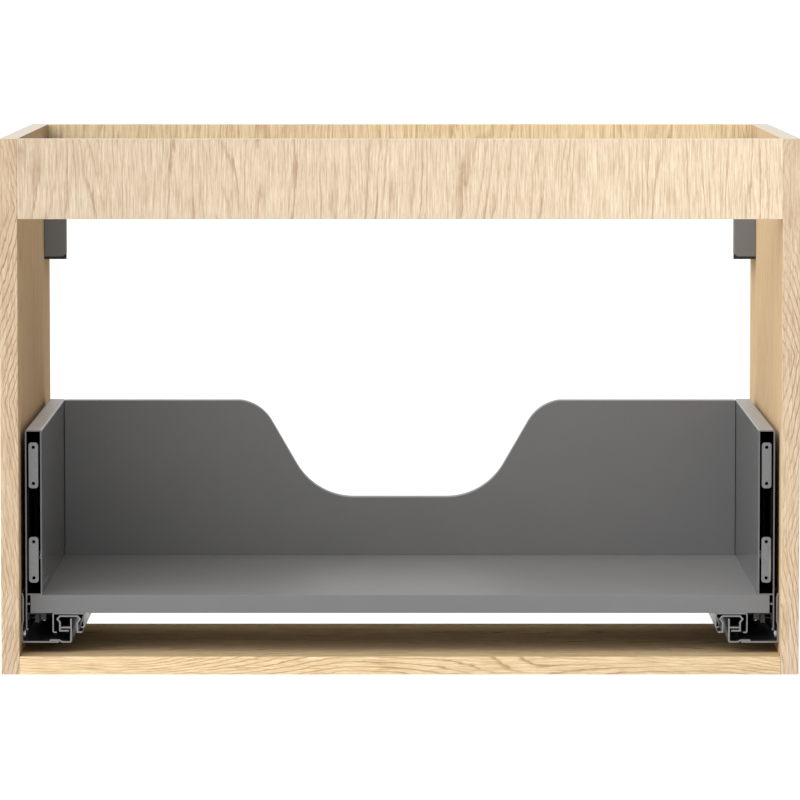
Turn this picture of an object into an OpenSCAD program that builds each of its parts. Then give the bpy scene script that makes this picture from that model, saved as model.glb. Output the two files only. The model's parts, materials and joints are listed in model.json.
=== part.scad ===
// Wall-hung vanity base for a basin: open carcass and one low metal-sided drawer
// Front faces -Y, the origin is on the floor plane under the middle of the cabinet

/* [Carcass] */
// Width over the side panels
cab_w = 700; // [600:10:1200]
// Height of the side panels
cab_h = 470; // [450:5:600]
// Depth from the front edges to the rear edges
cab_d = 450; // [440:5:560]
// Thickness of the carcass boards
board_t = 16; // [15:0.5:19]
// Height of the front rail under the basin
front_rail_h = 70; // [50:1:100]
// Height of the rear rail
rear_rail_h = 70; // [50:1:80]
// Depth of the shallow bottom board
bottom_d = 245; // [200:5:400]
// Rounding of the side panels' outer front edges
panel_arris = 1.2; // [0.4:0.1:3]
// Rounding of the rails' and the bottom board's front edges
rail_arris = 0.6; // [0.2:0.1:2]

/* [Carcass joints] */
// Diameter of the wooden dowels
dowel_d = 8; // [6:0.5:10]
// Length of the wooden dowels
dowel_l = 30; // [24:1:36]
// Distance from a rail's long edges to its dowels
dowel_edge = 13; // [9:0.5:16]
// Diameter of the cam housings
cam_d = 15; // [10:0.5:18]
// Depth of the cam housings
cam_t = 12.5; // [10:0.25:13]
// Distance from a board's end to its cam centres
cam_inset = 24; // [20:0.5:34]
// Diameter of the cam bolts
bolt_d = 7; // [5:0.5:8]
// Play round dowels, bolts, pins and screws in their bores
bore_play = 0.08; // [0.03:0.01:0.2]

/* [Drawer] */
// Length of the drawer sides
drawer_l = 350; // [300:10:380]
// Setback of the drawer behind the carcass's front edges
front_inset = 24; // [18:0.5:30]
// Running gap between a side panel and the drawer side
side_gap = 4.1; // [3.5:0.1:7]
// Width of a hollow drawer side
side_t = 14.6; // [14:0.2:18]
// Height of a drawer side above the drawer floor
side_h = 145.9; // [130:0.1:190]
// Sheet thickness of a drawer side
sheet_t = 1.3; // [0.8:0.1:1.6]
// Outer rounding of a drawer side's top edges
side_top_r = 1.6; // [1.4:0.1:3]
// How far a side's outer wall hangs below the drawer floor
skirt_drop = 13.9; // [8:0.1:16]
// Thickness of the drawer floor
floor_t = 16; // [12:0.5:19]
// Gap between the drawer floor's ends and the side's outer wall
floor_gap = 2.8; // [1:0.1:5]
// Thickness of the drawer back
back_t = 16; // [12:0.5:19]
// Play between the drawer back and the drawer sides
back_play = 0.3; // [0.1:0.1:1]

/* [Siphon cut-out] */
// Width of the cut-out at its top, round-over included
notch_w = 310; // [240:2:420]
// Depth of the cut-out
notch_depth = 91.5; // [60:0.5:110]
// Radius of the upper, outward curve
notch_top_r = 40; // [20:1:50]
// Radius of the lower, inward curve
notch_low_r = 62; // [20:1:70]
// Slope of the straight flank between the curves, in degrees
notch_slope = 60; // [45:1:65]

/* [Runners] */
// Gap between the bottom board and the runner brackets
runner_lift = 9; // [5:0.5:20]
// Height from a bracket's underside to the drawer floor
runner_h = 26.5; // [25:0.5:30]
// Sheet thickness of the cabinet and middle rails
rail_t = 1.5; // [1.1:0.1:1.6]
// Sheet thickness of the drawer rail
drawer_rail_t = 1.2; // [0.8:0.1:1.5]
// Distance from the side panel to the runner's centre line
runner_u = 41.8; // [41:0.1:50]
// How much shorter the rails are than the drawer
rail_short = 5; // [3:0.5:12]
// Height of a bracket's wall flange
flange_h = 44; // [30:1:60]
// Length of the roller and ball cages
cage_l = 150; // [120:2:170]
// Radius of the balls under the drawer rail
ball_r = 1.7; // [1.6:0.05:2.6]
// Play of every rolling element on its track
roll_play = 0.12; // [0.05:0.01:0.2]
// Play of the cages inside the rails
cage_play = 0.3; // [0.2:0.05:0.5]

/* [Front fixing] */
// Width of a front-fixing plate
plate_w = 8.5; // [6:0.1:8.6]
// Corner radius of the front-fixing plates
plate_r = 2.8; // [0.5:0.1:3]
// Spacing of a plate's two screw holes
plate_pitch = 32; // [24:1:40]
// Diameter of a plate's screw holes
plate_hole_d = 3; // [2:0.1:4.5]
// Thickness of a plate
plate_t = 2; // [1.2:0.1:3]
// Distance from the side's top and from the floor to the plate centres
plate_inset = 31.2; // [28:0.1:40]
// Length of a cover cap
cap_l = 70; // [66:1:90]
// Height of a cover cap
cap_h = 38; // [30:1:44]
// Setback of a cover cap from the side's front end
cap_inset = 18; // [14:0.5:19]
// Gap round a cover cap
cap_gap = 0.35; // [0.15:0.05:0.6]
// Eccentricity of the height adjusters
cam_throw = 2; // [1:0.1:2.2]

/* [Hanging brackets] */
// Width of a bracket's cover
hanger_w = 21.4; // [21:0.1:26]
// Distance from the cabinet's rear to a cover's front
hanger_reach = 83; // [80:0.5:110]
// Height of a bracket's steel frame
hanger_h = 109.5; // [104:0.5:120]
// Distance from the cabinet's top to a bracket's frame
hanger_drop = 15; // [8:0.5:18]
// How much lower the steel frame reaches than its cover
frame_show = 2.5; // [2:0.5:9]
// Sheet thickness of the steel frame
frame_t = 2; // [1.5:0.1:2.4]
// Wall thickness of the cover
cover_t = 1.2; // [1:0.1:2]
// How far back the hanging bracket's cover reaches (mm)
cover_l = 43; // [30:1:60]
// How much the cover narrows over that length (mm)
cover_taper = 2.8; // [1:0.1:4]

/* [Hidden] */
$fn = 48;
eps = 0.5;

// Main planes of the carcass
inner_w = cab_w - 2 * board_t;
y_front = -cab_d / 2;
y_rear = cab_d / 2;
front_rail_z = cab_h - front_rail_h;
rear_rail_z = cab_h - rear_rail_h;

// Heights and lengths of the drawer
bracket_z = board_t + runner_lift;
floor_z = bracket_z + runner_h;
floor_top = floor_z + floor_t;
side_top = floor_top + side_h;
drawer_y0 = y_front + front_inset;
drawer_y1 = drawer_y0 + drawer_l;
side_u1 = side_gap + side_t;
hollow_u0 = side_gap + sheet_t;
hollow_u1 = side_u1 - sheet_t;
hollow_mid = (hollow_u0 + hollow_u1) / 2;
floor_u = hollow_u0 + floor_gap;
back_w = inner_w - 2 * side_u1 - 2 * back_play;

// Runner section: u from the side panel, v from the bracket's underside
rail_y0 = drawer_y0 + 1;
rail_l = drawer_l - rail_short;
rail_mid_y = rail_y0 + rail_l / 2;
top_gap = 0.95;
shoulder_drop = 2.5;
neck_drop = 5.6;
wall_half = 7.7;
shoulder_half = wall_half + 2.35;
web_u = runner_u + 2.1;
mid_top_v = runner_h - drawer_rail_t - top_gap - rail_t / 2;
shelf_v = 13.55;
hook_flange_v = shelf_v - rail_t - 1.4;
outer_flange_v = hook_flange_v - 1.2;
web_top_v = mid_top_v - rail_t / 2 - 1.3;
flange_end_u = web_u - 11;
slope_n = [shoulder_drop, shoulder_half - wall_half] / norm([shoulder_drop, shoulder_half - wall_half]);
ball_v = runner_h - drawer_rail_t - ball_r - roll_play;
ball_half = shoulder_half + (ball_r + roll_play + rail_t / 2
    - (ball_v - mid_top_v + shoulder_drop) * slope_n[1]) / slope_n[0];
drawer_half = ball_half + ball_r + roll_play + drawer_rail_t / 2;
drawer_hook_v = 9.3;
drawer_lip_v = 13.9;

// Rollers between the cabinet rail and the middle rail
roller_r = (mid_top_v - shelf_v - rail_t) / 2 - roll_play;
roller_v = shelf_v + rail_t / 2 + roll_play + roller_r;
cheek_t = 0.9;
roller_n = 6;
guide_n = 4;
inner_left = runner_u - wall_half + rail_t / 2;
inner_right = runner_u + wall_half - rail_t / 2;
guide_u = (web_u + rail_t / 2 + inner_right) / 2;
guide_r = (inner_right - web_u - rail_t / 2) / 2 - roll_play;
ball_n = 10;
cage_sheet = 0.5;

// Screws that hold the runner brackets, in the 32 mm system
runner_screw_v = 7;
runner_screw_y = [rail_y0 + 12, rail_y0 + 44, rail_y0 + rail_l - 45, rail_y0 + rail_l - 13];
screw_r = 3;

// Dowels and cam bolts of the carcass, as [y, z] on the side panels
dowel_spots = [
    [y_front + 40, board_t / 2], [y_front + bottom_d - 40, board_t / 2],
    [y_front + board_t / 2, front_rail_z + dowel_edge], [y_front + board_t / 2, cab_h - dowel_edge],
    [y_rear - board_t / 2, rear_rail_z + dowel_edge], [y_rear - board_t / 2, cab_h - dowel_edge]
];
bottom_bolt_y = [y_front + 75, y_front + bottom_d - 75];
front_bolt_z = cab_h - front_rail_h / 2;
rear_bolt_z = cab_h - rear_rail_h / 2;
bolt_spots = [
    for (y = bottom_bolt_y) [y, board_t / 2],
    [y_front + board_t / 2, front_bolt_z], [y_rear - board_t / 2, rear_bolt_z]
];
dowel_in_panel = dowel_l * 0.4;
bolt_in_panel = 11;
thread_r = 2.5;

// Radii of the screws and pins
fixing_screw_r = 2.2;
height_thread_r = 3;
depth_thread_r = 2.2;
floor_screw_r = 1.9;
floor_head_r = 3.8;
holder_screw_r = 1.8;
catch_screw_r = 1.6;
tail_pin_r = 2.5;
rivet_r = 2;

// Front fixing and its adjusters
plate_zs = [floor_top + plate_inset, side_top - plate_inset];
tongue_h = 12;
tongue_w = 3;
tongue_y = drawer_y0 + 33;
bar_t = 4.7;
side_travel = 1.5;
carrier_t = 1.5;
carrier_u = hollow_u0 + 0.4;
carrier_edge_u = hollow_u1 - 2.2;
guide_play = 0.2;
adjuster_z = floor_top + plate_inset;
side_adjuster_y = drawer_y0 + 27;
height_adjuster_y = drawer_y0 + 60;
shaft_r = 2.5;
side_thread_r = 2;
cam_r = shaft_r + cam_throw + 0.4;
cam_slack = 0.6;
cap_z = adjuster_z - 4.7;
head_u = hollow_mid + tongue_w / 2 + side_travel + 0.3;

// Release catch under the drawer floor
catch_u0 = hollow_u0 + 0.6;
catch_u1 = 22;
catch_h = 6.3;
catch_y1 = drawer_y0 + 61;
lever_pivot = [14, drawer_y0 + 51];
lever_t = 3;
lever_v = floor_z - 4.6;
nose_y = drawer_y0 + 29;
rail_left_u = runner_u - drawer_half - drawer_rail_t / 2;

// Hanging bracket
hanger_y0 = y_rear - hanger_reach;
hanger_z1 = cab_h - hanger_drop;
hanger_z0 = hanger_z1 - hanger_h;
hanger_y1 = y_rear - board_t - 1;
frame_rear = y_rear - 2;
lift_range = 8;
screw_u = [6.6, 13];
carriage_z0 = hanger_z0 + frame_t + lift_range + 3;
carriage_z1 = hanger_z1 - frame_t - lift_range - 5;
carriage_y0 = hanger_y0 + 10;
carriage_y1 = hanger_y1 - 4;
height_screw_y = carriage_y0 + 13;
hook_z1 = rear_rail_z - lift_range - 4;
hook_h = 15;
hook_z0 = hook_z1 - hook_h;
hook_y0 = carriage_y0 + 28;
carriage_u = hanger_w - cover_t - cover_taper - 0.5;
hook_w = 7;
nose_z0 = hanger_z0 + frame_t + lift_range + 2;
fixing_y = hanger_y0 + 6;
fixing_zs = [hanger_z0 + 19, (hanger_z0 + hanger_z1) / 2, hanger_z1 - 15];

// Placing and section helpers
module on_side(side) {
    if (side == "right") mirror([1, 0, 0]) translate([-inner_w / 2, 0, 0]) children();
    else translate([-inner_w / 2, 0, 0]) children();
}
module along_y(y0, l) { translate([0, y0 + l, 0]) rotate([90, 0, 0]) linear_extrude(l) children(); }
module rod_x(u0, u1, y, z, r) { translate([u0, y, z]) rotate([0, 90, 0]) cylinder(h = u1 - u0, r = r); }
module rod_y(y0, y1, u, z, r) { translate([u, y0, z]) rotate([-90, 0, 0]) cylinder(h = y1 - y0, r = r); }
module rod_z(z0, z1, u, y, r) { translate([u, y, z0]) cylinder(h = z1 - z0, r = r); }
module block(low, high) { translate(low) cube(high - low); }

// Rounds an edge that runs along +Z, with the board in +X and +Y of it
module arris(r, l) {
    difference() {
        translate([-eps, -eps, -eps]) cube([r + eps, r + eps, l + 2 * eps]);
        translate([r, r, -1]) cylinder(h = l + 2, r = r);
    }
}

// Sheet-metal section: a strip of thickness t along a line of bends
function unit(v) = v / norm(v);
function turned(v) = [-v[1], v[0]];
function offset_at(path, i) =
    let (last = len(path) - 1)
    let (before = i > 0 ? unit(path[i] - path[i - 1]) : unit(path[1] - path[0]))
    let (after = i < last ? unit(path[i + 1] - path[i]) : unit(path[last] - path[last - 1]))
    let (n = unit(turned(before) + turned(after)))
    n / (n * turned(after));
function strip(path, t) = concat(
    [for (i = [0:1:len(path) - 1]) path[i] + offset_at(path, i) * t / 2],
    [for (i = [len(path) - 1:-1:0]) path[i] - offset_at(path, i) * t / 2]);
// Cuts each bend of a path short by c, so that the folded sheet looks rolled and not sharp
function eased(path, c) = [
    for (i = [0:1:len(path) - 1])
        if (i == 0 || i == len(path) - 1) path[i]
        else each [path[i] + c * unit(path[i - 1] - path[i]), path[i] + c * unit(path[i + 1] - path[i])]
];
function arc_points(centre, r, from, to, n) = [
    for (i = [0:n]) let (a = from + (to - from) * i / n) centre + r * [cos(a), sin(a)]
];
module sheet(path, t) { translate([0, bracket_z]) polygon(strip(eased(path, 0.7), t)); }

// Countersunk screw along +Z with its head's face at the origin
module csk_screw(l, r, head_r) {
    difference() {
        rotate_extrude() polygon([
            [0, 0], [head_r, 0], [head_r, 0.4], [r, head_r - r + 0.4], [r, l - r * 1.6], [0, l]
        ]);
        for (a = [0, 90]) rotate([0, 0, a])
            translate([-head_r * 0.55, -0.4, -0.1]) cube([head_r * 1.1, 0.8, 1.1]);
    }
}

// Carcass boards
module joint_drillings() {
    for (side = ["left", "right"]) on_side(side) {
        for (s = dowel_spots)
            rod_x(-dowel_in_panel - bore_play, dowel_l - dowel_in_panel + bore_play,
                s[0], s[1], dowel_d / 2 + bore_play);
        for (s = bolt_spots) {
            rod_x(-bolt_in_panel - bore_play, 0.01, s[0], s[1], thread_r + bore_play);
            rod_x(0, cam_inset, s[0], s[1], bolt_d / 2 + bore_play);
        }
        for (y = bottom_bolt_y) rod_z(-1, cam_t + bore_play, cam_inset, y, cam_d / 2 + bore_play);
        rod_y(y_front + board_t - cam_t - bore_play, y_front + board_t + 1,
            cam_inset, front_bolt_z, cam_d / 2 + bore_play);
        rod_y(y_rear - cam_t - bore_play, y_rear + 1, cam_inset, rear_bolt_z, cam_d / 2 + bore_play);
    }
}
module panel_drillings() {
    for (y = runner_screw_y) rod_x(-10, 1, y, bracket_z + runner_screw_v, screw_r + bore_play);
    for (z = fixing_zs) rod_x(-11, 1, fixing_y, z, fixing_screw_r + bore_play);
}
module side_panel(side) {
    color("burlywood") difference() {
        on_side(side) block([-board_t, y_front, 0], [0, y_rear, cab_h]);
        on_side(side) translate([-board_t, y_front, 0]) arris(panel_arris, cab_h);
        on_side(side) translate([0, y_front, 0]) mirror([1, 0, 0]) arris(rail_arris, cab_h);
        joint_drillings();
        on_side(side) panel_drillings();
    }
}
module bottom_board() {
    color("burlywood") difference() {
        block([-inner_w / 2, y_front, 0], [inner_w / 2, y_front + bottom_d, board_t]);
        translate([-inner_w / 2, y_front, 0]) rotate([0, 90, 0]) mirror([1, 0, 0]) arris(rail_arris, inner_w);
        translate([-inner_w / 2, y_front, board_t]) rotate([0, 90, 0]) arris(rail_arris, inner_w);
        joint_drillings();
    }
}
module front_rail() {
    color("burlywood") difference() {
        block([-inner_w / 2, y_front, front_rail_z], [inner_w / 2, y_front + board_t, cab_h]);
        translate([-inner_w / 2, y_front, front_rail_z]) rotate([0, 90, 0])
            mirror([1, 0, 0]) arris(rail_arris, inner_w);
        translate([-inner_w / 2, y_front, cab_h]) rotate([0, 90, 0]) arris(rail_arris, inner_w);
        joint_drillings();
    }
}
module rear_rail() {
    color("burlywood") difference() {
        block([-inner_w / 2, y_rear - board_t, rear_rail_z], [inner_w / 2, y_rear, cab_h]);
        joint_drillings();
    }
}
module carcass_dowels() {
    nose = 1.5;
    color("tan") for (side = ["left", "right"]) on_side(side)
        for (s = dowel_spots)
            translate([-dowel_in_panel, s[0], s[1]]) rotate([0, 90, 0]) rotate_extrude() polygon([
                [0, 0], [dowel_d / 2 - nose, 0], [dowel_d / 2, nose],
                [dowel_d / 2, dowel_l - nose], [dowel_d / 2 - nose, dowel_l], [0, dowel_l]
            ]);
}
module cam_housing() {
    difference() {
        cylinder(h = cam_t, r = cam_d / 2);
        for (a = [0, 90]) rotate([0, 0, a])
            translate([-cam_d * 0.3, -0.6, -0.1]) cube([cam_d * 0.6, 1.2, 2.1]);
    }
}
module cam_fittings() {
    color("silver") for (side = ["left", "right"]) on_side(side) {
        for (y = bottom_bolt_y) translate([cam_inset, y, 0]) cam_housing();
        translate([cam_inset, y_front + board_t, front_bolt_z]) rotate([90, 0, 0]) cam_housing();
        translate([cam_inset, y_rear, rear_bolt_z]) rotate([90, 0, 0]) cam_housing();
        for (s = bolt_spots) {
            rod_x(-bolt_in_panel, 0.5, s[0], s[1], thread_r);
            rod_x(0, cam_inset - cam_d / 2 - 0.2, s[0], s[1], bolt_d / 2);
        }
    }
}

// Hanging brackets in the upper rear corners
function cover_u(y) = hanger_w - cover_taper * y / cover_l;
module bracket_outline(u0, from, to, inset) {
    polygon([for (p = [[u0, from], [cover_u(from) - inset, from], [cover_u(to) - inset, to], [u0, to]])
        [p[0], hanger_y0 + p[1]]]);
}
module hanger_frame(side) {
    play = 0.3;
    rim_h = 3;
    rim_t = 1.2;
    lip_y = cover_t + 0.4;
    color("dimgray") on_side(side) difference() {
        union() {
            block([0, hanger_y0 + cover_t + 0.4, hanger_z0], [frame_t, hanger_y1, hanger_z1]);
            block([0, hanger_y1 - 1, hanger_z0], [frame_t, frame_rear, rear_rail_z - 2]);
            translate([0, 0, hanger_z0]) linear_extrude(frame_t)
                bracket_outline(0, 0.4, frame_rear - hanger_y0, play);
            translate([0, 0, hanger_z0]) linear_extrude(frame_t + rim_h) {
                bracket_outline(0, lip_y, lip_y + rim_t, play);
                polygon([for (p = [[rim_t, lip_y], [0, lip_y], [0, cover_l], [rim_t, cover_l]])
                    [cover_u(p[1]) - play - p[0], hanger_y0 + p[1]]]);
            }
            translate([0, 0, hanger_z1 - frame_t]) linear_extrude(frame_t)
                bracket_outline(0, 8, hanger_y1 - hanger_y0, cover_t + play);
        }
        for (z = [hanger_z0, hanger_z1 - frame_t])
            rod_z(z - 1, z + frame_t + 1, screw_u[0], height_screw_y, height_thread_r + bore_play);
        for (z = fixing_zs) rod_x(-1, frame_t + 1, fixing_y, z, fixing_screw_r + bore_play);
    }
}
module hanger_cover(side) {
    notch = [4.4, 3];
    corner_r = 2.6;
    rim_room = 3.4;
    z0 = hanger_z0 + frame_show;
    z1 = hanger_z1 + 0.3 + cover_t;
    color("dimgray") on_side(side) difference() {
        translate([0, 0, z0]) linear_extrude(z1 - z0) bracket_outline(0.2, 0, cover_l, 0);
        translate([0, 0, z0 - 1]) linear_extrude(z1 - cover_t - z0 + 1)
            bracket_outline(-1, cover_t, cover_l + 1, cover_t);
        translate([hanger_w, hanger_y0, z0]) mirror([1, 0, 0]) arris(min(corner_r, 1.5 * cover_t), z1 - z0);
        translate([hanger_w, hanger_y0 + cover_t, z0]) rotate([90, 0, 0]) linear_extrude(cover_t + 1)
            polygon([[0.1, -0.1], [-notch[0], -0.1], [-notch[0], 0], [0, notch[1]], [0.1, notch[1]]]);
        block([hanger_w - cover_t - cover_taper - 1, hanger_y0 + cover_t, z0 - 1],
            [hanger_w + 1, hanger_y1, z0 + rim_room]);
    }
}
module hanger_carriage(side) {
    slot_play = 0.25;
    color("gray") on_side(side) difference() {
        block([frame_t + 1, carriage_y0, carriage_z0], [carriage_u, carriage_y1, carriage_z1]);
        rod_z(carriage_z0 - 1, carriage_z1 + 1, screw_u[0], height_screw_y, height_thread_r + bore_play);
        rod_y(carriage_y0 - 1, hook_y0, screw_u[1], hook_z0 + hook_h / 2, depth_thread_r + bore_play);
        block([screw_u[1] - hook_w / 2 - slot_play, hook_y0 - 1, hook_z0 - slot_play],
            [hanger_w, carriage_y1 + 1, hook_z1 + slot_play]);
        block([screw_u[1] - hook_w / 2 + 1, hook_y0 + 4, hook_z1 + 8],
            [hanger_w, carriage_y1 - 4, carriage_z1 - 6]);
    }
}
module hanger_hook(side) {
    nose_t = 6;
    lip_t = 3;
    u0 = screw_u[1] - hook_w / 2;
    u1 = screw_u[1] + hook_w / 2;
    bore_y1 = frame_rear - nose_t - 4;
    color("gainsboro") on_side(side) difference() {
        union() {
            block([u0, hook_y0, hook_z0], [u1, frame_rear, hook_z1]);
            block([u0, frame_rear - nose_t, nose_z0], [u1, frame_rear, hook_z0 + 1]);
        }
        rod_y(hook_y0 - 1, bore_y1, screw_u[1], hook_z0 + hook_h / 2, depth_thread_r + bore_play);
        translate([0, frame_rear, nose_z0 - 0.01]) rotate([45, 0, 0]) cube([60, lip_t, lip_t], center = true);
    }
}
module hanger_height_screw(side) {
    collar_t = 2.4;
    color("silver") on_side(side) difference() {
        union() {
            rod_z(hanger_z0, hanger_z1, screw_u[0], height_screw_y, height_thread_r);
            for (z = [hanger_z0 + frame_t + 0.2, hanger_z1 - frame_t - 0.2 - collar_t])
                rod_z(z, z + collar_t, screw_u[0], height_screw_y, height_thread_r + 1.2);
        }
        translate([screw_u[0], height_screw_y, hanger_z0 - 0.1]) cylinder(h = 3, r = 1.7, $fn = 6);
    }
}
module hanger_depth_screw(side) {
    head_t = 4;
    z = hook_z0 + hook_h / 2;
    color("silver") on_side(side) difference() {
        union() {
            rod_y(carriage_y0 - 0.2, frame_rear - 15, screw_u[1], z, depth_thread_r);
            rod_y(carriage_y0 - 0.2 - head_t, carriage_y0 - 0.2, screw_u[1], z, depth_thread_r + 1.8);
        }
        translate([screw_u[1], carriage_y0 - 0.3 - head_t, z]) rotate([-90, 0, 0])
            cylinder(h = 2.6, r = 2, $fn = 6);
    }
}
module hanger_fixing_screws() {
    head_t = 1.9;
    color("silver") for (side = ["left", "right"]) on_side(side)
        for (z = fixing_zs) difference() {
            union() {
                rod_x(-10.5, frame_t + 0.2, fixing_y, z, fixing_screw_r);
                rod_x(frame_t, frame_t + head_t, fixing_y, z, fixing_screw_r + 1.2);
            }
            for (a = [0, 90]) translate([frame_t + head_t, fixing_y, z]) rotate([a, 0, 0])
                cube([1.6, 0.8, 4], center = true);
        }
}

// Telescopic runners
module runner_bracket(side) {
    boss = 0.8;
    half = rail_t / 2;
    section = [
        [half, flange_h], [half, flange_h - 1], [half + boss, flange_h - 2.6], [half + boss, 18.5],
        [half, 16.9], [half, half], [flange_end_u, half]
    ];
    window_y = 75;
    window_v = 21;
    bridge_w = 15;
    window_l = (rail_l - 2 * window_y - bridge_w) / 2;
    color("slategray") on_side(side) difference() {
        along_y(rail_y0, rail_l) sheet(section, rail_t);
        for (y = runner_screw_y) rod_x(-1, 6, y, bracket_z + runner_screw_v, screw_r + bore_play);
        for (i = [0, 1]) translate([-1, rail_y0 + window_y + i * (window_l + bridge_w), bracket_z + window_v])
            cube([6, window_l, flange_h - 8 - window_v]);
        for (y = rivet_ys())
            rod_z(bracket_z - 1, bracket_z + rail_t + 1, flange_end_u - 4, y, rivet_r + bore_play);
    }
}
function rivet_ys() = [for (i = [0:4]) rail_y0 + 15 + i * (rail_l - 30) / 4];
module cabinet_rail(side) {
    half = rail_t / 2;
    section = [
        [flange_end_u - 8, half + rail_t], [flange_end_u + 0.9, half + rail_t],
        [flange_end_u + 2.7, half], [web_u, half], [web_u, web_top_v]
    ];
    color("lightgray") on_side(side) {
        along_y(rail_y0, rail_l) union() {
            sheet(section, rail_t);
            translate([inner_left + cage_play, bracket_z + shelf_v - half])
                square([web_u - inner_left - cage_play, rail_t]);
        }
        for (y = rivet_ys()) rod_z(bracket_z + 0.2, bracket_z + rail_t + 0.5, flange_end_u - 4, y, rivet_r);
    }
}
module middle_rail(side) {
    left = runner_u - wall_half;
    right = runner_u + wall_half;
    section = [
        [left + 7.8, hook_flange_v], [left, hook_flange_v], [left, mid_top_v - neck_drop],
        [runner_u - shoulder_half, mid_top_v - shoulder_drop], [left, mid_top_v],
        [right, mid_top_v], [runner_u + shoulder_half, mid_top_v - shoulder_drop],
        [right, mid_top_v - neck_drop], [right, outer_flange_v], [right + 4.2, outer_flange_v]
    ];
    color("silver") on_side(side) along_y(rail_y0 + 0.5, rail_l - 1)
        translate([0, bracket_z]) polygon(strip(section, rail_t));
}
module drawer_rail(side) {
    half = drawer_rail_t / 2;
    left = runner_u - drawer_half;
    right = runner_u + drawer_half;
    section = [
        [left + 3.3, drawer_hook_v], [left, drawer_hook_v], [left, runner_h - half],
        [right, runner_h - half], [right, drawer_lip_v], [right - 3, drawer_lip_v]
    ];
    tab_h = 13;
    color("silver") on_side(side) {
        difference() {
            along_y(rail_y0, drawer_y1 + 0.2 + drawer_rail_t - rail_y0) sheet(section, drawer_rail_t);
            block([left - 2, nose_y - 3.4, lever_v - 0.4], [left + 2, nose_y + 3.4, lever_v + lever_t + 0.4]);
        }
        block([runner_u - 5, drawer_y1 + 0.2, floor_z - drawer_rail_t],
            [runner_u + 5, drawer_y1 + 0.2 + drawer_rail_t, floor_z + tab_h]);
        rod_y(drawer_y1 - 7, drawer_y1 + 0.5, runner_u, floor_z + floor_t / 2, tail_pin_r);
    }
}
module lower_cage(side) {
    u0 = inner_left + cage_play;
    u1 = inner_right - cage_play;
    y0 = rail_mid_y - cage_l / 2;
    web0 = web_u - rail_t / 2 - cage_play;
    web1 = web_u + rail_t / 2 + cage_play;
    top = bracket_z + mid_top_v - rail_t / 2 - cage_play;
    bridge = bracket_z + web_top_v + cage_play;
    low = bracket_z + roller_v - 2;
    color("ivory") on_side(side) difference() {
        union() {
            block([u0, y0, low], [web0, y0 + cage_l, top]);
            block([u0, y0, bridge], [u1, y0 + cage_l, top]);
            block([web1, y0, low - 4], [u1, y0 + cage_l, top]);
        }
        for (y = roller_ys())
            block([u0 + cheek_t, y - roller_r - 0.2, low - 1], [web0 - cheek_t, y + roller_r + 0.2, top + 1]);
        for (y = guide_ys())
            block([web1 - 1, y - guide_r - 0.15, low - 3.2], [inner_right, y + guide_r + 0.15, bridge - 1]);
    }
}
function roller_ys() = [for (i = [0:roller_n - 1]) rail_mid_y + (i - (roller_n - 1) / 2) * cage_l / roller_n];
function guide_ys() = [for (i = [0:guide_n - 1]) rail_mid_y + (i - (guide_n - 1) / 2) * cage_l / guide_n];
module lower_rollers(side) {
    u0 = inner_left + cage_play + cheek_t + 0.1;
    u1 = web_u - rail_t / 2 - cage_play - cheek_t - 0.1;
    low = bracket_z + roller_v - 5.1;
    bridge = bracket_z + web_top_v + cage_play;
    color("white") on_side(side) {
        for (y = roller_ys()) rod_x(u0, u1, y, bracket_z + roller_v, roller_r);
        for (y = guide_ys()) rod_z(low, bridge - 1.1, guide_u, y, guide_r);
    }
}
function ball_ys() = [for (i = [0:ball_n - 1]) rail_mid_y + (i - (ball_n - 1) / 2) * cage_l / ball_n];
module ball_rows(r) {
    for (y = ball_ys()) for (s = [-1, 1])
        translate([runner_u + s * ball_half, y, bracket_z + ball_v]) sphere(r = r, $fn = 24);
}
module upper_cage(side) {
    v = (mid_top_v + rail_t / 2 + runner_h - drawer_rail_t) / 2;
    low = ball_v - ball_r - 0.6;
    section = [
        [runner_u - ball_half, low], [runner_u - ball_half, v],
        [runner_u + ball_half, v], [runner_u + ball_half, low]
    ];
    color("silver") on_side(side) difference() {
        along_y(rail_mid_y - cage_l / 2, cage_l)
            translate([0, bracket_z]) polygon(strip(eased(section, 0.5), cage_sheet));
        ball_rows(ball_r + 0.1);
    }
}
module upper_balls(side) { color("lightsteelblue") on_side(side) ball_rows(ball_r); }
module closing_damper(side) {
    u0 = 8;
    u1 = flange_end_u - 8.6;
    z0 = bracket_z + rail_t;
    y0 = rail_mid_y + 8;
    rod_u = (u0 + u1) / 2;
    rod_z = z0 + 7.5;
    body_l = 140;
    body_h = 15;
    pitch = 22;
    color("darkslategray") on_side(side) {
        difference() {
            block([u0, y0, z0], [u1, y0 + body_l, z0 + body_h]);
            for (i = [0:5]) block([u0 + 2.5, y0 + 8 + i * pitch, z0 + body_h - 2],
                [u1 - 2.5, y0 + 24 + i * pitch, z0 + body_h + 1]);
        }
        rod_y(y0 - 35, y0 + 0.5, rod_u, rod_z, 1.6);
        difference() {
            block([u0 + 1, y0 - 42, z0 + 0.2], [u1 - 1, y0 - 34, z0 + 15]);
            block([u0, y0 - 40, z0 + 9], [u1, y0 - 37, z0 + 16]);
        }
    }
}
module runner_screws() {
    head_t = 1.8;
    color("silver") for (side = ["left", "right"]) on_side(side)
        for (y = runner_screw_y) difference() {
            union() {
                rod_x(-9.5, rail_t + 0.2, y, bracket_z + runner_screw_v, screw_r);
                rod_x(rail_t, rail_t + head_t, y, bracket_z + runner_screw_v, screw_r + 1.2);
            }
            for (a = [0, 90]) translate([rail_t + head_t, y, bracket_z + runner_screw_v]) rotate([a, 0, 0])
                cube([1.6, 0.9, 5], center = true);
        }
}

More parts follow.
